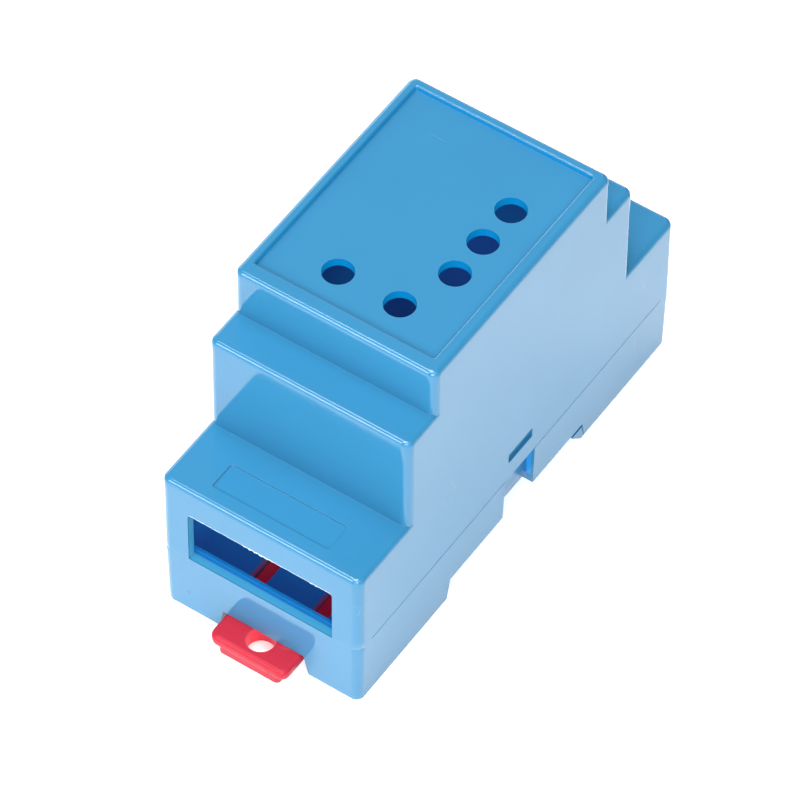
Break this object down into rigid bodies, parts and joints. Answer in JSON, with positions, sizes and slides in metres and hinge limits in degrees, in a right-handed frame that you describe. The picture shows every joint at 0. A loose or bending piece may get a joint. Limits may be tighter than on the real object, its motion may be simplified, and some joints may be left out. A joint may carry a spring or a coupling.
{
  "type": "din rail enclosure",
  "caption": "Stepped two-module housing for a 35 mm rail, with terminal windows, indicator holes in a recessed top panel and a sliding rail clip.",
  "frame": {"origin": "middle of the face that seats on the rail, on the rail's centre line and half way across the case", "axes": "+X along the rail, +Y across the rail from the clip towards the fixed hooks, +Z away from the rail towards the top panel"},
  "size_m": [0.037, 0.0925, 0.0597],
  "materials": {
    "blue_plastic": "glossy moulded ABS",
    "red_plastic": "glossy moulded plastic"
  },
  "bodies": {
    "housing": {"cover": "blue_plastic", "base": "blue_plastic"},
    "clip": {"din_clip": "red_plastic"}
  },
  "joints": [
    {"name": "clip_slide", "type": "slide", "parent": "housing", "child": "clip", "axis": [0, -1, 0], "range_m": [0, 0.0035]}
  ]
}
